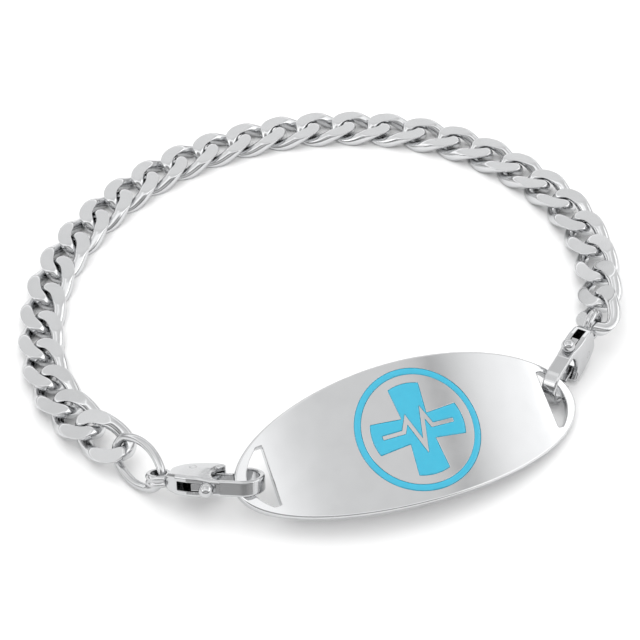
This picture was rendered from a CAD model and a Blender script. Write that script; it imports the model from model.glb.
import math
import bpy
import numpy as np
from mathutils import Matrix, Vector
from mathutils.geometry import delaunay_2d_cdt


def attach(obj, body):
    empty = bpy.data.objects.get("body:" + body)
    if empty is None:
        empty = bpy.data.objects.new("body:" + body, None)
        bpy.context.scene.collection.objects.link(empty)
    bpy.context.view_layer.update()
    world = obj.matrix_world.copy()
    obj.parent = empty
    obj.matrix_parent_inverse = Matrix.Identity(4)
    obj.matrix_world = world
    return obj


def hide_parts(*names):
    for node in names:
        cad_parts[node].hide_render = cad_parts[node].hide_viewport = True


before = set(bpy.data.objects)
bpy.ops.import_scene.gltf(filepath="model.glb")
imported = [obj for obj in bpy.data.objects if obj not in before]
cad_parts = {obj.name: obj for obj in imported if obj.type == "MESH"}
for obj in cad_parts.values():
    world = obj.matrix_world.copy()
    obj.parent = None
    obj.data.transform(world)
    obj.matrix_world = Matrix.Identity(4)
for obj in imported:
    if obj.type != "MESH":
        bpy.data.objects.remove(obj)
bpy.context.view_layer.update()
MM = 0.001
ROOT = "bracelet"

# ---------------------------------------------------------------- numbers shared with the CAD (mm)
MID = np.array([0.403, 3.064, -0.0479])
PLATE_POS, PLATE_ROT = (11.752, -24.5, 6.828), (22.0, 3.15, 21.8)
HL, HH, PT, RB = 22.5, 8.98, 1.1, 62.0
SLOT_IN, SLOT_HH, STRIP = 18.5, 3.75, 1.5
RING_RO, RING_W, CROSS_R, CROSS_W, CROSS_F, LINE_W, EN_T = 7.8, 0.85, 5.9, 3.3, 4.3, 0.5, 0.35
PULSE = [(-4.6, 0), (-1.9, 0), (-1.1, 1.5), (0.1, -2.3), (1.1, 1.9), (1.8, 0), (4.6, 0)]
LINK_W, PITCH, WIRE, GAP, CHAIN_T = 6.0, 5.265, 1.78, 0.26, 2.0
FIRST_JOINT = (-28.4364, -20.6255, 2.2032)
FIRST_HEADING = 128.36
# links that don't lie flat: turn away from the arc, rise, roll, in degrees
LIFTED = {1: (-2.17, -2.54, 26.48), 2: (2.62, -5.98, 17.15), 3: (-0.32, -3.38, 8.63), 4: (-2.08, -2.31, 3.26),
          5: (-2.41, -1.43, 0.22), 23: (1.22, 1.66, -0.29), 24: (0.31, 2.69, -3.78), 25: (-1.63, 2.70, -10.02),
          26: (-1.76, 3.40, -16.30), 27: (-2.24, 1.89, -22.96), 28: (-0.69, 5.07, -30.38), 29: (2.28, 9.08, -35.94)}
JR_POS, JR_ROT, JR_A, JR_B, JR_END, JR_WIRE = (-21.785, -26.354, 2.658), (56.82, -0.84, -46.45), 4.051, 2.54, 1.9, 1.06
LEFT_POS, LEFT_ROT = (-19.1261, -29.0246, 3.0092), (-29.363, -6.834, -8.645)
RIGHT_POS, RIGHT_ROT = (35.0313, -4.7064, 3.9015), (-82.684, 7.204, -121.445)
LEFT_EYE, RIGHT_EYE = (0.95, 1.6, 1.5), (1.4, 2.1, 1.1)
PIVOT = (4.0, 0.9)


def rot(deg):
    x, y, z = np.radians(deg)
    X = np.array([[1, 0, 0], [0, np.cos(x), -np.sin(x)], [0, np.sin(x), np.cos(x)]])
    Y = np.array([[np.cos(y), 0, np.sin(y)], [0, 1, 0], [-np.sin(y), 0, np.cos(y)]])
    Z = np.array([[np.cos(z), -np.sin(z), 0], [np.sin(z), np.cos(z), 0], [0, 0, 1]])
    return Z @ Y @ X


def place(P, pos, R):
    return P @ R.T + np.array(pos) - MID


# ---------------------------------------------------------------- materials
def principled(name):
    m = bpy.data.materials.new(name)
    m.use_nodes = True
    nt = m.node_tree
    b = nt.nodes["Principled BSDF"]
    return m, nt, b


def add(nt, kind, **kw):
    n = nt.nodes.new(kind)
    for k, v in kw.items():
        if k.startswith("in_"):
            n.inputs[k[3:].replace("_", " ")].default_value = v
        else:
            setattr(n, k, v)
    return n


def ramp(nt, stops, interp="LINEAR"):
    r = nt.nodes.new("ShaderNodeValToRGB")
    r.color_ramp.interpolation = interp
    e = r.color_ramp.elements
    while len(e) < len(stops):
        e.new(0.5)
    for k, (p, c) in enumerate(stops):
        e[k].position = p
        e[k].color = (c[0], c[1], c[2], 1) if hasattr(c, "__len__") else (c, c, c, 1)
    return r


def steel(name, base, rough, spread, scratch, scale=(1, 1, 1), fine=9000.0, bump=0.02):
    """Polished or brushed stainless steel: roughness varies softly, with hairline marks from stretched noise."""
    m, nt, b = principled(name)
    b.inputs["Metallic"].default_value = 1.0
    b.inputs["Roughness"].default_value = rough
    tc = add(nt, "ShaderNodeTexCoord")
    mp = add(nt, "ShaderNodeMapping")
    mp.inputs["Scale"].default_value = scale
    nt.links.new(tc.outputs["Object"], mp.inputs["Vector"])
    soft = add(nt, "ShaderNodeTexNoise", in_Scale=420.0, in_Detail=3.0, in_Roughness=0.55)
    hair = add(nt, "ShaderNodeTexNoise", in_Scale=fine, in_Detail=4.0, in_Roughness=0.6)
    nt.links.new(tc.outputs["Object"], soft.inputs["Vector"])
    nt.links.new(mp.outputs["Vector"], hair.inputs["Vector"])
    col = ramp(nt, [(0.3, [c * 0.965 for c in base]), (0.7, base)])
    nt.links.new(soft.outputs["Fac"], col.inputs["Fac"])
    nt.links.new(col.outputs["Color"], b.inputs["Base Color"])
    rr = add(nt, "ShaderNodeMapRange")
    rr.inputs["From Min"].default_value = 0.3
    rr.inputs["From Max"].default_value = 0.7
    rr.inputs["To Min"].default_value = max(0.02, rough - spread)
    rr.inputs["To Max"].default_value = rough + spread
    mix = add(nt, "ShaderNodeMath", operation="ADD")
    k1 = add(nt, "ShaderNodeMath", operation="MULTIPLY")
    k2 = add(nt, "ShaderNodeMath", operation="MULTIPLY")
    k1.inputs[1].default_value = 1.0 - scratch
    k2.inputs[1].default_value = scratch
    nt.links.new(soft.outputs["Fac"], k1.inputs[0])
    nt.links.new(hair.outputs["Fac"], k2.inputs[0])
    nt.links.new(k1.outputs[0], mix.inputs[0])
    nt.links.new(k2.outputs[0], mix.inputs[1])
    nt.links.new(mix.outputs[0], rr.inputs["Value"])
    nt.links.new(rr.outputs["Result"], b.inputs["Roughness"])
    bm = add(nt, "ShaderNodeBump", in_Strength=bump, in_Distance=0.00002)
    nt.links.new(hair.outputs["Fac"], bm.inputs["Height"])
    nt.links.new(bm.outputs["Normal"], b.inputs["Normal"])
    return m


def enamel_mat(name):
    m, nt, b = principled(name)
    tc = add(nt, "ShaderNodeTexCoord")
    n = add(nt, "ShaderNodeTexNoise", in_Scale=900.0, in_Detail=4.0, in_Roughness=0.6)
    nt.links.new(tc.outputs["Object"], n.inputs["Vector"])
    col = ramp(nt, [(0.30, (0.027, 0.405, 0.590)), (0.55, (0.029, 0.418, 0.603)), (0.80, (0.031, 0.431, 0.616))])
    nt.links.new(n.outputs["Fac"], col.inputs["Fac"])
    nt.links.new(col.outputs["Color"], b.inputs["Base Color"])
    b.inputs["Roughness"].default_value = 0.22
    b.inputs["IOR"].default_value = 1.5
    b.inputs["Coat Weight"].default_value = 0.6
    b.inputs["Coat Roughness"].default_value = 0.08
    f = add(nt, "ShaderNodeTexNoise", in_Scale=2600.0, in_Detail=2.0)
    nt.links.new(tc.outputs["Object"], f.inputs["Vector"])
    bm = add(nt, "ShaderNodeBump", in_Strength=0.06, in_Distance=0.00003)
    nt.links.new(f.outputs["Fac"], bm.inputs["Height"])
    nt.links.new(bm.outputs["Normal"], b.inputs["Normal"])
    return m


STEEL = (0.635, 0.640, 0.648)
M_PLATE = steel("plate_polished", STEEL, 0.13, 0.035, 0.35, scale=(1, 6, 1), fine=5200.0, bump=0.010)
M_BACK = steel("plate_brushed", STEEL, 0.34, 0.10, 0.85, scale=(0.05, 1.6, 0.4), fine=9000.0, bump=0.30)
M_RIM = steel("plate_rim", STEEL, 0.12, 0.03, 0.3, scale=(1, 1, 1), fine=6000.0, bump=0.012)
M_CHAIN = steel("chain_polished", STEEL, 0.15, 0.05, 0.45, scale=(1, 1, 1), fine=7000.0, bump=0.025)
M_FIT = steel("fittings_polished", (0.550, 0.555, 0.563), 0.15, 0.045, 0.45, scale=(1, 1, 1), fine=7000.0, bump=0.022)
M_ENAMEL = enamel_mat("sky_enamel")


# ---------------------------------------------------------------- mesh building
def to_object(name, V, faces, mats, body, node, normals=None, face_mat=None, smooth=True):
    me = bpy.data.meshes.new(name)
    me.from_pydata((V * MM).tolist(), [], faces)
    for m in mats:
        me.materials.append(m)
    if face_mat is not None:
        me.polygons.foreach_set("material_index", np.asarray(face_mat, dtype=np.int32))
    me.polygons.foreach_set("use_smooth", np.full(len(me.polygons), smooth))
    me.validate()
    me.update()
    if normals is not None:
        me.normals_split_custom_set_from_vertices(normals.tolist())
    ob = bpy.data.objects.new(name, me)
    bpy.context.scene.collection.objects.link(ob)
    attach(ob, body)
    if node:
        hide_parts(node)
    return ob


def surface_net(f, lo, hi, h):
    """Closed surface of f = 0 on a grid of step h: one vertex per crossed cell, then pulled onto the surface."""
    lo, hi = np.array(lo, float), np.array(hi, float)
    n = np.ceil((hi - lo) / h).astype(int) + 1
    ax = [lo[i] + h * np.arange(n[i]) for i in range(3)]
    G = np.stack(np.meshgrid(*ax, indexing="ij"), -1).reshape(-1, 3)
    F = f(G).reshape(n)
    neg = F < 0
    acc = np.zeros((n[0] - 1, n[1] - 1, n[2] - 1, 3))
    cnt = np.zeros(acc.shape[:3])
    quads = []
    num = np.full(acc.shape[:3], -1)
    edges = []
    for a in range(3):
        s0 = [slice(None)] * 3
        s1 = [slice(None)] * 3
        s0[a] = slice(0, -1)
        s1[a] = slice(1, None)
        A, B = F[tuple(s0)], F[tuple(s1)]
        I = np.argwhere(neg[tuple(s0)] != neg[tuple(s1)])
        b, c = (a + 1) % 3, (a + 2) % 3
        I = I[(I[:, b] > 0) & (I[:, c] > 0) & (I[:, b] < n[b] - 1) & (I[:, c] < n[c] - 1)]
        va, vb = A[tuple(I.T)], B[tuple(I.T)]
        t = va / (va - vb)
        P = lo + h * I
        P[:, a] += h * t
        cells = []
        for db, dc in ((-1, -1), (0, -1), (0, 0), (-1, 0)):
            J = I.copy()
            J[:, b] += db
            J[:, c] += dc
            np.add.at(acc, tuple(J.T), P)
            np.add.at(cnt, tuple(J.T), 1)
            cells.append(J)
        edges.append((cells, va < 0))
    used = cnt > 0
    num[used] = np.arange(used.sum())
    V = acc[used] / cnt[used][:, None]
    for cells, inside in edges:
        q = np.stack([num[tuple(J.T)] for J in cells], 1)
        q[~inside] = q[~inside][:, ::-1]
        quads.append(q)
    Q = np.vstack(quads)
    e = h * 0.05
    for _ in range(3):
        g, v = gradient(f, V, e)
        V = V - (v / np.maximum((g * g).sum(1), 1e-6))[:, None] * g * 0.9
    g, _ = gradient(f, V, e)
    g /= np.maximum(np.linalg.norm(g, axis=1), 1e-9)[:, None]
    return V, Q, g


def gradient(f, V, e):
    g = np.stack([(f(V + np.eye(3)[k] * e) - f(V - np.eye(3)[k] * e)) / (2 * e) for k in range(3)], 1)
    return g, f(V)


def sd_poly(P, V):
    """Signed distance in 2D to a closed polygon, negative inside."""
    V = np.asarray(V, float)
    d = np.full(len(P), 1e18)
    s = np.ones(len(P))
    n = len(V)
    for i in range(n):
        a, b = V[i], V[i - 1]
        e = b - a
        w = P - a
        t = np.clip((w @ e) / max(e @ e, 1e-12), 0, 1)
        q = w - t[:, None] * e
        d = np.minimum(d, (q * q).sum(1))
        c1 = P[:, 1] >= a[1]
        c2 = P[:, 1] < b[1]
        c3 = e[0] * w[:, 1] > e[1] * w[:, 0]
        flip = (c1 & c2 & c3) | (~c1 & ~c2 & ~c3)
        s[flip] *= -1
    return s * np.sqrt(d)


def extrude_sd(d2, z, hz, r):
    """Rounded slab: 2D distance d2, half height hz (may vary), edge radius r."""
    a, b = d2 + r, np.abs(z) - hz + r
    return np.minimum(np.maximum(a, b), 0) + np.hypot(np.maximum(a, 0), np.maximum(b, 0)) - r


def smin(a, b, k):
    h = np.clip(0.5 + 0.5 * (b - a) / k, 0, 1)
    return b + (a - b) * h - k * h * (1 - h)


def smax(a, b, k):
    return -smin(-a, -b, k)


def arc(cx, cy, r, a0, a1, n):
    t = np.radians(a0 + (a1 - a0) * np.arange(n + 1) / n)
    return [(cx + r * np.cos(a), cy + r * np.sin(a)) for a in t]


# ---------------------------------------------------------------- chain
LA, LB, LC = (PITCH + WIRE + GAP) / 2, (LINK_W - WIRE) / 2, (WIRE + GAP) / 2


def link_mesh(nu=120, nv=34, soft=0.055):
    """A curb link: round wire on a twisted loop, its top and bottom ground flat with a small rounded edge."""
    t = 2 * np.pi * np.arange(nu) / nu
    P = np.stack([LA * np.cos(t), LB * np.sin(t), -LC * np.sin(2 * t)], 1)
    f = np.stack([-LA * np.sin(t), LB * np.cos(t), -2 * LC * np.cos(2 * t)], 1)
    f /= np.linalg.norm(f, axis=1)[:, None]
    e = np.cross(f, [0, 0, 1.0])
    e /= np.linalg.norm(e, axis=1)[:, None]
    g = np.cross(e, f)
    s = 2 * np.pi * np.arange(nv) / nv
    V = P[:, None] + WIRE / 2 * (np.cos(s)[None, :, None] * e[:, None] + np.sin(s)[None, :, None] * g[:, None])
    V = V.reshape(-1, 3)
    z = np.abs(V[:, 2])
    top = CHAIN_T / 2 - 0.002
    zc = top - soft * np.logaddexp(0, (top - z) / soft) + 0 * z
    zc = top - soft * np.log1p(np.exp(np.clip((top - z) / soft, -40, 40)))
    V[:, 2] = np.sign(V[:, 2]) * zc
    i = np.arange(nu)[:, None]
    j = np.arange(nv)[None, :]
    i2, j2 = (i + 1) % nu, (j + 1) % nv
    Q = np.stack([i * nv + j, i * nv + j2, i2 * nv + j2, i2 * nv + j], -1).reshape(-1, 4)
    return V, Q


def turn(k):
    return 9.66 if k <= 6 else 7.32 if k <= 17 else 9.39


def build_chain():
    V0, Q0 = link_mesh()
    hd = {}
    h = FIRST_HEADING
    for k in range(2, 30):
        hd[k] = h
        h -= turn(k - 1)
    L = lambda k, i: LIFTED[k][i] if k in LIFTED else 0.0
    head = {k: hd[k] + L(k, 0) for k in hd}
    head[1] = FIRST_HEADING + 9.66 - L(1, 0)

    def step(k):
        a, b = math.radians(head[k]), math.radians(L(k, 1))
        return PITCH * np.array([math.cos(a) * math.cos(b), math.sin(a) * math.cos(b), math.sin(b)])

    p = np.array(FIRST_JOINT)
    for k in range(1, 30):
        if k == 1:
            c = p - step(1) / 2
        else:
            c = p + step(k) / 2
            p = p + step(k)
        W = place(V0, c, rot((-L(k, 2), -L(k, 1), head[k])))
        to_object("chain_link_%02d" % k, W, Q0.tolist(), [M_CHAIN], ROOT, "link_%02d" % k)


build_chain()


# ---------------------------------------------------------------- jump ring
def build_jump_ring(nv=28):
    """Wire bent to an oval of four arcs: two tight ends and two long sides."""
    c = JR_A - JR_END
    side = (c * c + JR_B * JR_B - JR_END * JR_END) / (2 * (JR_B - JR_END))
    u = 2 * np.pi * np.arange(144) / 144
    end = np.abs(np.sin(u)) <= (side - JR_B) / math.hypot(side - JR_B, c)
    X = np.where(end, np.sign(np.cos(u)) * c + JR_END * np.cos(u), side * np.cos(u))
    Y = np.where(end, JR_END * np.sin(u), np.sign(np.sin(u)) * (JR_B - side) + side * np.sin(u))
    P = np.stack([X, Y, 0 * X], 1)
    T = np.roll(P, -1, 0) - np.roll(P, 1, 0)
    T /= np.linalg.norm(T, axis=1)[:, None]
    N = np.cross(T, [0, 0, 1.0])
    n = len(P)
    a = 2 * np.pi * np.arange(nv) / nv
    # a hairline where the wire's two ends meet, on the ring's lower side
    rad = np.full(n, JR_WIRE / 2)
    cut = int(n * 0.83)
    rad[cut] -= 0.05
    V = P[:, None] + rad[:, None, None] * (np.cos(a)[None, :, None] * N[:, None] + np.sin(a)[None, :, None] * np.array([0, 0, 1.0]))
    V = V.reshape(-1, 3)
    i = np.arange(n)[:, None]
    j = np.arange(nv)[None, :]
    Q = np.stack([i * nv + j, i * nv + (j + 1) % nv, (i + 1) % n * nv + (j + 1) % nv, (i + 1) % n * nv + j], -1).reshape(-1, 4)
    to_object("jump_ring_wire", place(V, JR_POS, rot(JR_ROT)), Q.tolist(), [M_FIT], ROOT, "jump_ring")


build_jump_ring()


# ---------------------------------------------------------------- plate
def clip_slot():
    """Outline of the right-hand slot: straight inner edge, outer edge following the oval."""
    sx = RB * math.sin(SLOT_IN / RB)
    ys = np.linspace(-SLOT_HH, SLOT_HH, 41)
    out = [(max(HL * math.sqrt(max(0, 1 - (y / HH) ** 2)) - STRIP, sx + 0.2), y) for y in ys]
    return np.array([(sx, y) for y in np.linspace(SLOT_HH, -SLOT_HH, 25)] + out)


def densify(P, step):
    out = []
    for a, b in zip(P, np.roll(P, -1, 0)):
        n = max(1, int(math.ceil(np.linalg.norm(b - a) / step)))
        out += [a + (b - a) * k / n for k in range(n)]
    return np.array(out)


def outward(P):
    """Unit normals of a closed counter-clockwise outline, pointing out of it."""
    T = np.roll(P, -1, 0) - np.roll(P, 1, 0)
    T /= np.linalg.norm(T, axis=1)[:, None]
    return np.stack([T[:, 1], -T[:, 0]], 1)


def ccw(P):
    x, y = P[:, 0], P[:, 1]
    return P if (x * np.roll(y, -1) - y * np.roll(x, -1)).sum() > 0 else P[::-1]


def round_corners(P, r, step=0.05):
    """Outline with its sharp corners rounded by repeated averaging of a dense copy."""
    D = densify(P, step)
    for _ in range(int((r / step) ** 2 * 1.2)):
        D = 0.25 * np.roll(D, 1, 0) + 0.5 * D + 0.25 * np.roll(D, -1, 0)
    return D


def pulse_outline(r):
    P = np.array(PULSE, float)
    n = len(P)
    def side(s):
        out = []
        for k in range(n):
            u = (P[k] - P[k - 1]) if k else (P[1] - P[0])
            u = u / np.linalg.norm(u)
            w = (P[k + 1] - P[k]) if k < n - 1 else u
            w = w / np.linalg.norm(w)
            m = np.array([-(u[1] + w[1]), u[0] + w[0]])
            m /= np.linalg.norm(m)
            out.append(P[k] + s * m / (-m[0] * u[1] + m[1] * u[0]))
        return out
    return np.array(side(-r) + side(r)[::-1])


def cross_sd(P, grow=0.0):
    """Signed distance-like value of the flared cross without the pulse line."""
    w0, w1 = CROSS_W / 2, CROSS_F / 2
    arm = np.array([(-7, -w1), (-w0, -w0), (w0, -w0), (7, -w1), (7, w1), (w0, w0), (-w0, w0), (-7, w1)])
    d = np.minimum(sd_poly(P, arm), sd_poly(P[:, ::-1], arm))
    d = np.maximum(d, np.hypot(P[:, 0], P[:, 1]) - CROSS_R)
    return np.maximum(d, -sd_poly(P, pulse_outline(LINE_W / 2))) - grow


def ring_sd(P):
    r = np.hypot(P[:, 0], P[:, 1])
    return np.maximum(r - RING_RO, RING_RO - RING_W - r)


def bend(P, depth):
    """(x, y) of the plate's plan and a depth below the front face, to the bent plate in its own frame."""
    z = np.sqrt((RB - depth) ** 2 - P[:, 0] ** 2) - RB
    return np.stack([P[:, 0], P[:, 1], z], 1)


def front_normal(P, sign=1.0):
    n = np.stack([P[:, 0] / RB, 0 * P[:, 0], np.sqrt(RB ** 2 - P[:, 0] ** 2) / RB], 1)
    return n * sign


PR = rot(PLATE_ROT)


def build_plate():
    V, N, F, MI = [], [], [], []
    count = 0

    def push(P3, nrm):
        nonlocal count
        V.append(P3)
        N.append(nrm)
        s = count
        count += len(P3)
        return s

    outer = np.array([(HL * math.cos(a), HH * math.sin(a)) for a in np.linspace(0, 2 * np.pi, 481)[:-1]])
    slot_r = round_corners(clip_slot(), 0.12)[::2]
    slot_l = slot_r * np.array([-1, 1])
    loops = [(ccw(outer), 1, 0.30), (ccw(slot_r), -1, 0.16), (ccw(slot_l), -1, 0.16)]
    nb = 7
    front_loops, back_loops = [], []
    for P, s, r in loops:
        n2 = outward(P) * s                      # out of the metal
        th = np.linspace(0, np.pi / 2, nb)
        rows = []
        for q in th:                             # front edge
            p2 = P - n2 * r * (1 - math.sin(q))
            d = np.full(len(P), r * (1 - math.cos(q)))
            nn = front_normal(p2) * math.cos(q) + np.column_stack([n2, 0 * n2[:, 0]]) * math.sin(q)
            rows.append((bend(p2, d), nn))
        for q in th[::-1]:                       # back edge
            rb = r * 0.7
            p2 = P - n2 * rb * (1 - math.sin(q))
            d = np.full(len(P), PT - rb * (1 - math.cos(q)))
            nn = -front_normal(p2) * math.cos(q) + np.column_stack([n2, 0 * n2[:, 0]]) * math.sin(q)
            rows.append((bend(p2, d), nn))
        starts = [push(a, b / np.linalg.norm(b, axis=1)[:, None]) for a, b in rows]
        m = len(P)
        k = np.arange(m)
        for a, b in zip(starts[:-1], starts[1:]):
            q = np.stack([a + k, b + k, b + (k + 1) % m, a + (k + 1) % m], 1)
            if s > 0:
                F.extend(q.tolist())
            else:
                F.extend(q[:, ::-1].tolist())
            MI.extend([1] * m)
        front_loops.append((starts[0], P - n2 * r))
        back_loops.append((starts[-1], P - n2 * r * 0.7))

    # pocket outlines on the front face
    ringo = np.array([(RING_RO * math.cos(a), RING_RO * math.sin(a)) for a in np.linspace(0, 2 * np.pi, 241)[:-1]])
    ringi = ringo * (RING_RO - RING_W) / RING_RO
    cross = cross_outlines()
    pockets = [(ccw(ringo), -1), (ccw(ringi), 1)] + [(ccw(c), 1 if land else -1) for c, land in cross]
    pk_loops = []
    br = 0.05
    for P, s in pockets:
        n2 = outward(P) * s                      # out of the metal, into the pocket
        rows = []
        for q in np.linspace(0, np.pi / 2, 4):
            p2 = P - n2 * br * (1 - math.sin(q))
            d = np.full(len(P), br * (1 - math.cos(q)))
            nn = front_normal(p2) * math.cos(q) + np.column_stack([n2, 0 * n2[:, 0]]) * math.sin(q)
            rows.append((bend(p2, d), nn))
        rows.append((bend(P, np.full(len(P), EN_T)), np.column_stack([n2, 0 * n2[:, 0]])))
        starts = [push(a, b / np.linalg.norm(b, axis=1)[:, None]) for a, b in rows]
        m = len(P)
        k = np.arange(m)
        for a, b in zip(starts[:-1], starts[1:]):
            q = np.stack([a + k, b + k, b + (k + 1) % m, a + (k + 1) % m], 1)
            F.extend(q.tolist() if s > 0 else q[:, ::-1].tolist())
            MI.extend([0] * m)
        pk_loops.append((starts[0], P - n2 * br, starts[-1], P, s))

    def inside(P, poly):
        return sd_poly(P, poly) < 0

    # front face
    def cdt(loopset, extra):
        pts = [p for _, P in loopset for p in P]
        idx = [s + i for s, P in loopset for i in range(len(P))]
        edges, c = [], 0
        for _, P in loopset:
            m = len(P)
            edges += [(c + i, c + (i + 1) % m) for i in range(m)]
            c += m
        allp = [Vector((float(p[0]), float(p[1]))) for p in pts] + [Vector((float(p[0]), float(p[1]))) for p in extra]
        ov, oe, of, orig, _, _ = delaunay_2d_cdt(allp, edges, [], 0, 1e-7)
        return np.array([(v.x, v.y) for v in ov]), of, orig, len(pts), idx

    gx = np.arange(-HL, HL, 0.6)
    gy = np.arange(-HH, HH, 0.6)
    G = np.array([(x + (0.3 if i % 2 else 0), y) for i, y in enumerate(gy) for x in gx])
    G = G[(np.hypot(G[:, 0] / HL, G[:, 1] / HH) < 0.975)]
    for P, _, _ in loops[1:]:
        G = G[sd_poly(G, P) > 0.35]
    Gf = G[np.abs(ring_sd(G)) > 0.15]
    Gf = Gf[np.abs(cross_sd(Gf)) > 0.15]

    def face(loopset, extra, depth, sign, keep, mat):
        P2, tri, orig, npts, idx = cdt(loopset, extra)
        T = np.array([t for t in tri if len(t) == 3])
        C = P2[T].mean(1)
        T = T[keep(C)]
        used = np.unique(T)
        mp = {}
        new = []
        for u in used:
            o = [q for q in orig[u] if q < npts]
            if o:
                mp[u] = idx[o[0]]
            else:
                mp[u] = None
                new.append(u)
        if new:
            pn = P2[new]
            s = push(bend(pn, np.full(len(pn), depth)), front_normal(pn, sign))
            for i, u in enumerate(new):
                mp[u] = s + i
        for t in T:
            a, b, c = (P2[i] for i in t)
            area = (b[0] - a[0]) * (c[1] - a[1]) - (b[1] - a[1]) * (c[0] - a[0])
            q = [mp[i] for i in t]
            if (area > 0) != (sign > 0):
                q = q[::-1]
            F.append(q)
            MI.append(mat)

    ringo_f, ringi_f = pk_loops[0][1], pk_loops[1][1]

    def in_cross(C, column):
        k = np.zeros(len(C), bool)
        for c in pk_loops[2:]:
            if c[4] < 0:
                k |= inside(C, c[column])
        for c in pk_loops[2:]:
            if c[4] > 0:
                k &= ~inside(C, c[column])
        return k

    def keep_front(C):
        k = np.hypot(C[:, 0] / HL, C[:, 1] / HH) < 1
        for s, P in front_loops[1:]:
            k &= ~inside(C, P)
        k &= inside(C, front_loops[0][1])
        k &= ~(inside(C, ringo_f) & ~inside(C, ringi_f))
        return k & ~in_cross(C, 1)

    face(front_loops + [(a, b) for a, b, _, _, _ in pk_loops], Gf, 0.0, 1.0, keep_front, 0)

    def keep_back(C):
        k = inside(C, back_loops[0][1])
        for s, P in back_loops[1:]:
            k &= ~inside(C, P)
        return k

    face(back_loops, G, PT, -1.0, keep_back, 2)

    def keep_floor(C):
        return (inside(C, ringo) & ~inside(C, ringi)) | in_cross(C, 3)

    face([(c, P) for _, _, c, P, _ in pk_loops], np.zeros((0, 2)), EN_T, 1.0, keep_floor, 0)

    V3 = place(np.vstack(V), PLATE_POS, PR)
    N3 = np.vstack(N) @ PR.T
    to_object("plate_body", V3, F, [M_PLATE, M_RIM, M_BACK], ROOT, "plaque", normals=N3, face_mat=MI)


def cross_outlines():
    """Outlines of the flared cross, traced from its signed distance: each with whether it bounds the bare pulse line."""
    w0, w1 = CROSS_W / 2, CROSS_F / 2
    h = 0.04
    n = int(2 * (CROSS_R + 0.3) / h)
    ax = -(CROSS_R + 0.3) + h * np.arange(n + 1)
    X, Y = np.meshgrid(ax, ax, indexing="ij")
    D = cross_sd(np.stack([X.ravel(), Y.ravel()], 1)).reshape(X.shape) + 1e-7
    loops = trace(D, ax, ax)
    size = [abs((L[:, 0] * np.roll(L[:, 1], -1) - L[:, 1] * np.roll(L[:, 0], -1)).sum()) for L in loops]
    return [(L, any(a > b and sd_poly(L[:1], M)[0] < 0 for a, M in zip(size, loops))) for b, L in zip(size, loops)]


def trace(D, xs, ys):
    """Closed zero contours of a grid by walking marching squares."""
    h = xs[1] - xs[0]
    neg = D < 0
    seg = {}
    def ex(i, j):
        t = D[i, j] / (D[i, j] - D[i + 1, j])
        return (xs[i] + h * t, ys[j])
    def ey(i, j):
        t = D[i, j] / (D[i, j] - D[i, j + 1])
        return (xs[i], ys[j] + h * t)
    pos = {}
    cells = np.argwhere((neg[:-1, :-1] != neg[1:, :-1]) | (neg[:-1, :-1] != neg[:-1, 1:]) | (neg[1:, 1:] != neg[1:, :-1]) | (neg[1:, 1:] != neg[:-1, 1:]))
    link = {}
    for i, j in cells:
        e = []
        if neg[i, j] != neg[i + 1, j]:
            e.append(("x", i, j)); pos[("x", i, j)] = ex(i, j)
        if neg[i + 1, j] != neg[i + 1, j + 1]:
            e.append(("y", i + 1, j)); pos[("y", i + 1, j)] = ey(i + 1, j)
        if neg[i, j + 1] != neg[i + 1, j + 1]:
            e.append(("x", i, j + 1)); pos[("x", i, j + 1)] = ex(i, j + 1)
        if neg[i, j] != neg[i, j + 1]:
            e.append(("y", i, j)); pos[("y", i, j)] = ey(i, j)
        pairs = [(e[0], e[1])] if len(e) == 2 else [(e[0], e[3]), (e[1], e[2])]
        for a, b in pairs:
            link.setdefault(a, []).append(b)
            link.setdefault(b, []).append(a)
    loops = []
    todo = set(link)
    for start in sorted(link, key=str):
        if start not in todo:
            continue
        loop, prev, cur = [], None, start
        while cur in todo:
            todo.discard(cur)
            loop.append(pos[cur])
            nx = [q for q in link[cur] if q in todo]
            if not nx:
                break
            cur = nx[0]
        P = np.array(loop)
        # drop points that crowd each other, then ease the outline
        keep = [0]
        for k in range(1, len(P)):
            if np.linalg.norm(P[k] - P[keep[-1]]) > 0.05:
                keep.append(k)
        P = P[keep]
        if np.linalg.norm(P[0] - P[-1]) < 0.04:
            P = P[:-1]
        P = 0.25 * np.roll(P, 1, 0) + 0.5 * P + 0.25 * np.roll(P, -1, 0)
        if len(P) > 20:
            loops.append(P)
    return loops


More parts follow.
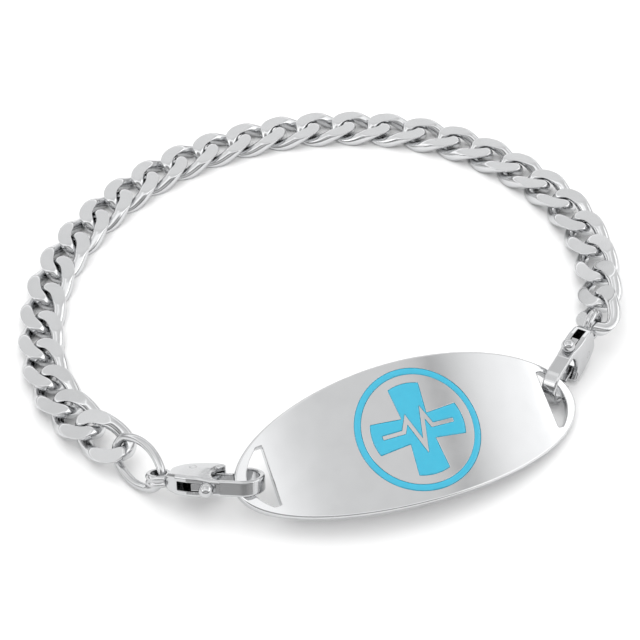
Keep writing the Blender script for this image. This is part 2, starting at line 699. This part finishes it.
def build_enamel():
    """Enamel fills: flat-bottomed, with a faint meniscus up to the pocket's edge and a soft crown."""
    def fill(name, node, loops, keep, sd):
        pts = [p for P in loops for p in P]
        edges, c = [], 0
        for P in loops:
            m = len(P)
            edges += [(c + i, c + (i + 1) % m) for i in range(m)]
            c += m
        g = np.arange(-8.2, 8.2, 0.16)
        G = np.array([(x, y) for x in g for y in g])
        G = G[sd(G) < -0.07]
        allp = [Vector((float(p[0]), float(p[1]))) for p in pts] + [Vector((float(p[0]), float(p[1]))) for p in G]
        ov, oe, of, orig, _, _ = delaunay_2d_cdt(allp, edges, [], 0, 1e-7)
        P2 = np.array([(v.x, v.y) for v in ov])
        T = np.array([t for t in of if len(t) == 3])
        T = T[keep(P2[T].mean(1))]
        d = np.clip(-sd(P2), 0, 1)
        dep = 0.055 - 0.040 * np.clip(d / 0.30, 0, 1) ** 0.5 * (2 - np.clip(d / 0.30, 0, 1)) ** 0.5
        n = len(P2)
        Vt = bend(P2, dep)
        Vb = bend(P2, np.full(n, EN_T - 0.02))
        a, b, c2 = P2[T[:, 0]], P2[T[:, 1]], P2[T[:, 2]]
        area = (b[:, 0] - a[:, 0]) * (c2[:, 1] - a[:, 1]) - (b[:, 1] - a[:, 1]) * (c2[:, 0] - a[:, 0])
        T[area < 0] = T[area < 0][:, ::-1]
        F = T.tolist() + (T[:, ::-1] + n).tolist()
        ed = {}
        for t in T:
            for i in range(3):
                ed[(t[i], t[(i + 1) % 3])] = True
        for (i, j) in list(ed):
            if (j, i) not in ed:
                F.append([int(i), int(i) + n, int(j) + n, int(j)])
        used = np.unique(np.concatenate([np.ravel(f) for f in F]))
        mp = -np.ones(2 * n, int)
        mp[used] = np.arange(len(used))
        V = np.vstack([Vt, Vb])[used]
        F = [[int(mp[i]) for i in f] for f in F]
        ob = to_object(name, place(V, PLATE_POS, PR), F, [M_ENAMEL], ROOT, node)
        return ob

    ring_o = np.array([((RING_RO - 0.02) * math.cos(a), (RING_RO - 0.02) * math.sin(a)) for a in np.linspace(0, 2 * np.pi, 241)[:-1]])
    ring_i = ring_o * (RING_RO - RING_W + 0.02) / (RING_RO - 0.02)
    rs = lambda P: np.maximum(np.hypot(P[:, 0], P[:, 1]) - RING_RO + 0.02, RING_RO - RING_W + 0.02 - np.hypot(P[:, 0], P[:, 1]))
    fill("enamel_ring_fill", "enamel_ring", [ring_o, ring_i], lambda C: rs(C) < 0, rs)
    pair = [(ccw(c), land) for c, land in cross_outlines()]
    pair = [(P + outward(P) * (0.02 if land else -0.02), land) for P, land in pair]
    loops = [P for P, _ in pair]

    def cs(P):
        d = np.min([sd_poly(P, L) for L, land in pair if not land], axis=0)
        for L, land in pair:
            if land:
                d = np.maximum(d, -sd_poly(P, L))
        return d
    fill("enamel_cross_fill", "enamel_cross", loops, lambda C: cs(C) < 0, cs)


build_plate()
build_enamel()


# ---------------------------------------------------------------- clasps
def house_poly(eo):
    x0 = eo - 0.35
    return [(x0, -0.6 * x0 - 0.45), (2.5, -2.0), (4, -2.4), (6, -2.55), (8.0, -2.55), (8.0, -1.95), (7.25, -1.7)] + \
        arc(8.9, 0.25, 2.35, 231, 150, 12) + \
        [(7.6, 2.1), (7.6, 2.6), (6.6, 2.95), (5, 2.9), (3.5, 2.5), (2.3, 1.9), (x0, 0.6 * x0 + 0.35)]


BAND = [(6.9, -1.85), (6.9, -2.5)] + arc(10.4, 0, 2.5, -90, 128, 40) + arc(10.4, 0, 1.85, 128, -90, 36)
SLOT = [(2.9, -3.4), (7.1, -3.4), (7.1, -1.2), (8.4, -1.2), (8.4, 2.2), (3.0, 2.2), (2.6, 1.4), (2.6, 0.4)]


def body_sd(eye):
    ei, eo, eh = eye
    house = np.array(house_poly(eo))

    def f(P):
        xy, z = P[:, :2], P[:, 2]
        dh = sd_poly(xy, house)
        # the housing is fullest over its middle and thins a little towards the fin's edge and the tail
        hz = 1.3 - 0.10 * np.clip((P[:, 1] - 0.4) / 2.4, 0, 1) ** 2 - 0.32 * np.clip((3.0 - P[:, 0]) / 2.0, 0, 1) ** 1.5
        # on the spine's side it narrows to run into the hook without a step
        q = np.clip((P[:, 0] - 5.0) / 2.9, 0, 1)
        hz = hz - 0.34 * q * q * (3 - 2 * q) * np.clip((0.8 - P[:, 1]) / 1.6, 0, 1)
        a = extrude_sd(dh + 0.01, z, hz, 0.40)
        b = extrude_sd(sd_poly(xy, BAND) + 0.0, z, 0.95, 0.24)
        s = smin(a, b, 0.14)
        r = np.hypot(P[:, 0], P[:, 1])
        # the eye: a short barrel with two rolled beads
        bead = 0.13 * (0.5 - 0.5 * np.cos(2 * np.pi * (z / eh + 0.5) * 2))
        ro = eo - 0.13 + bead
        mid = (ro + ei) / 2
        e = extrude_sd(np.abs(r - mid) - (ro - ei) / 2, z, eh / 2, 0.14)
        s = smin(s, e, 0.10)
        s = smax(s, -extrude_sd(np.abs(r) - ei, z, 5.0, 0.0), 0.08)
        sl = extrude_sd(sd_poly(xy, np.array(SLOT)), z, 0.54, 0.05)
        s = smax(s, -sl, 0.06)
        # bore for the cross pin, whose ends are dressed flush
        rp = np.hypot(P[:, 0] - PIVOT[0], P[:, 1] - PIVOT[1])
        s = smax(s, -(rp - 0.4), 0.008)
        return s
    return f


def lever_sd(P):
    xy, z = P[:, :2], P[:, 2]
    c = np.hypot(P[:, 0] - PIVOT[0], P[:, 1] - PIVOT[1]) - 1.15
    gate = sd_poly(xy, np.array([(4.0, 2.05), (6.2, 1.85), (8.8, 1.54), (8.8, 1.07), (6.2, 1.25), (5.0, 0.2)]))
    arm = sd_poly(xy, np.array([(2.95, 0.5), (4.6, -2.4), (7.0, -2.4), (5.1, 0.6), (4.0, 1.5)]))
    neck = sd_poly(xy, np.array([(5.9, -2.3), (5.9, -2.75), (7.0, -2.75), (7.0, -2.3)]))
    d = smin(smin(smin(c, gate, 0.15), arm, 0.15), neck, 0.1)
    s = extrude_sd(d, z, 0.45, 0.08)
    ball = np.sqrt((P[:, 0] - 6.6) ** 2 + (P[:, 1] + 3.15) ** 2 + z * z) - 0.875
    t = smax(ball, P[:, 1] + 2.65, 0.12)
    s = smin(s, t, 0.06)
    return smax(s, -(c + 1.15 - 0.45), 0.03)


def build_clasp(side, pos, rt, eye, lever_cache={}):
    R = rot(rt)
    h = 0.075
    V, Q, N = surface_net(body_sd(eye), (-2.4, -2.9, -1.6), (13.2, 3.3, 1.6), h)
    to_object(side + "_clasp_shell", place(V, pos, R), Q.tolist(), [M_FIT], ROOT, side + "_clasp_body", normals=N @ R.T)
    if "v" not in lever_cache:
        lever_cache["v"] = surface_net(lever_sd, (2.5, -4.3, -1.15), (9.3, 2.4, 1.15), h * 0.8)
    V, Q, N = lever_cache["v"]
    to_object(side + "_clasp_gate", place(V, pos, R), Q.tolist(), [M_FIT], side + "_lever", side + "_clasp_lever", normals=N @ R.T)

    def pin(P):
        r = np.hypot(P[:, 0] - PIVOT[0], P[:, 1] - PIVOT[1])
        return extrude_sd(r - 0.397, P[:, 2], 1.288, 0.02)
    V, Q, N = surface_net(pin, (3.4, 0.3, -1.5), (4.6, 1.5, 1.5), 0.06)
    to_object(side + "_clasp_rivet", place(V, pos, R), Q.tolist(), [M_FIT], ROOT, side + "_clasp_pin", normals=N @ R.T)


build_clasp("left", LEFT_POS, LEFT_ROT, LEFT_EYE)
build_clasp("right", RIGHT_POS, RIGHT_ROT, RIGHT_EYE)


# ---------------------------------------------------------------- floor, light, camera
def build_stage():
    s = 1.6
    me = bpy.data.meshes.new("table_top")
    me.from_pydata([(-s, -s, 0), (s, -s, 0), (s, s, 0), (-s, s, 0)], [], [(0, 1, 2, 3)])
    fl = bpy.data.objects.new("table_top", me)
    bpy.context.scene.collection.objects.link(fl)
    m, nt, b = principled("pale_table")
    tc = add(nt, "ShaderNodeTexCoord")
    n = add(nt, "ShaderNodeTexNoise", in_Scale=30.0, in_Detail=2.0)
    nt.links.new(tc.outputs["Object"], n.inputs["Vector"])
    c = ramp(nt, [(0.3, (0.93, 0.93, 0.93)), (0.7, (0.945, 0.945, 0.945))])
    nt.links.new(n.outputs["Fac"], c.inputs["Fac"])
    nt.links.new(c.outputs["Color"], b.inputs["Base Color"])
    b.inputs["Roughness"].default_value = 0.9
    b.inputs["Specular IOR Level"].default_value = 0.1
    me.materials.append(m)


def area(name, loc, target, size, power, size_y=None):
    d = bpy.data.lights.new(name, "AREA")
    d.energy = power
    d.size = size
    if size_y:
        d.shape = "RECTANGLE"
        d.size_y = size_y
    o = bpy.data.objects.new(name, d)
    o.location = loc
    o.rotation_euler = (Vector(target) - Vector(loc)).to_track_quat("-Z", "Y").to_euler()
    bpy.context.scene.collection.objects.link(o)
    return o


def build_world():
    """Soft studio surround: bright panels to the left, right and overhead, a darker room in front and low down."""
    w = bpy.data.worlds.new("studio")
    bpy.context.scene.world = w
    w.use_nodes = True
    nt = w.node_tree
    bg = nt.nodes["Background"]
    tc = add(nt, "ShaderNodeTexCoord")
    sp = add(nt, "ShaderNodeSeparateXYZ")
    nt.links.new(tc.outputs["Generated"], sp.inputs[0])

    def axis(out, stops):
        mr = add(nt, "ShaderNodeMapRange")
        mr.inputs["From Min"].default_value = -1
        mr.inputs["From Max"].default_value = 1
        nt.links.new(sp.outputs[out], mr.inputs["Value"])
        r = ramp(nt, [((p + 1) / 2, c) for p, c in stops])
        nt.links.new(mr.outputs["Result"], r.inputs["Fac"])
        return r.outputs["Color"]

    def blend(kind, fac, a, b):
        m = add(nt, "ShaderNodeMix", data_type="RGBA", blend_type=kind)
        if hasattr(fac, "default_value"):
            nt.links.new(fac, m.inputs[0])
        else:
            m.inputs[0].default_value = fac
        nt.links.new(a, m.inputs[6])
        nt.links.new(b, m.inputs[7])
        return m.outputs[2]

    depth = axis("Y", DEPTH)
    above = axis("Y", ABOVE)
    across = axis("X", ACROSS)
    low = axis("Z", LOW)
    nt.links.new(blend("MULTIPLY", 1.0, blend("MIX", above, depth, across), low), bg.inputs["Color"])
    bg.inputs["Strength"].default_value = 1.0


# brightness of the surround against the direction's y, x and z, and where the overhead panel replaces the y one
DEPTH = [(-1, 0.60), (-0.84, 0.60), (-0.76, 0.38), (-0.60, 0.38), (-0.52, 1.5), (-0.28, 1.5), (-0.10, 1.0), (0.50, 0.90),
         (0.66, 0.93), (0.75, 1.04), (0.83, 1.04), (0.88, 1.08), (1, 1.08)]
ABOVE = [(-1, 0), (-0.30, 0), (-0.22, 1), (0.34, 1), (0.5, 0), (1, 0)]
ACROSS = [(-1, 1.05), (-0.45, 1.05), (-0.32, 1.45), (-0.24, 1.45), (-0.15, 1.20), (-0.04, 0.99), (0.05, 0.94), (0.40, 0.92), (0.46, 0.82),
          (0.50, 0.60), (0.54, 0.74), (0.57, 0.92), (0.63, 1.18), (0.70, 1.40), (0.80, 1.55), (1, 1.6)]
LOW = [(0, 0.9), (0.11, 0.9), (0.16, 0.40), (0.27, 0.40), (0.34, 0.95), (0.38, 1.6), (0.49, 1.6), (0.55, 1.0), (1, 1.0)]


build_stage()
build_world()

el = math.radians(46.0)
target = Vector((-MID[0] * MM, -MID[1] * MM, -MID[2] * MM))
cam_d = bpy.data.cameras.new("camera")
cam_d.sensor_width = 36.0
cam_d.lens = 1640.0 / 640.0 * 36.0
cam_d.clip_start = 0.01
cam = bpy.data.objects.new("camera", cam_d)
cam.location = target + 0.217 * Vector((0, -math.cos(el), math.sin(el)))
cam.rotation_euler = (target - cam.location).to_track_quat("-Z", "Y").to_euler()
bpy.context.scene.collection.objects.link(cam)
bpy.context.scene.camera = cam

sc = bpy.context.scene
sc.view_settings.view_transform = "Standard"
sc.view_settings.look = "None"

key = area("key", (-0.10, 0.25, 0.55), (0, 0, 0), 0.8, 1.9)
key.visible_glossy = False
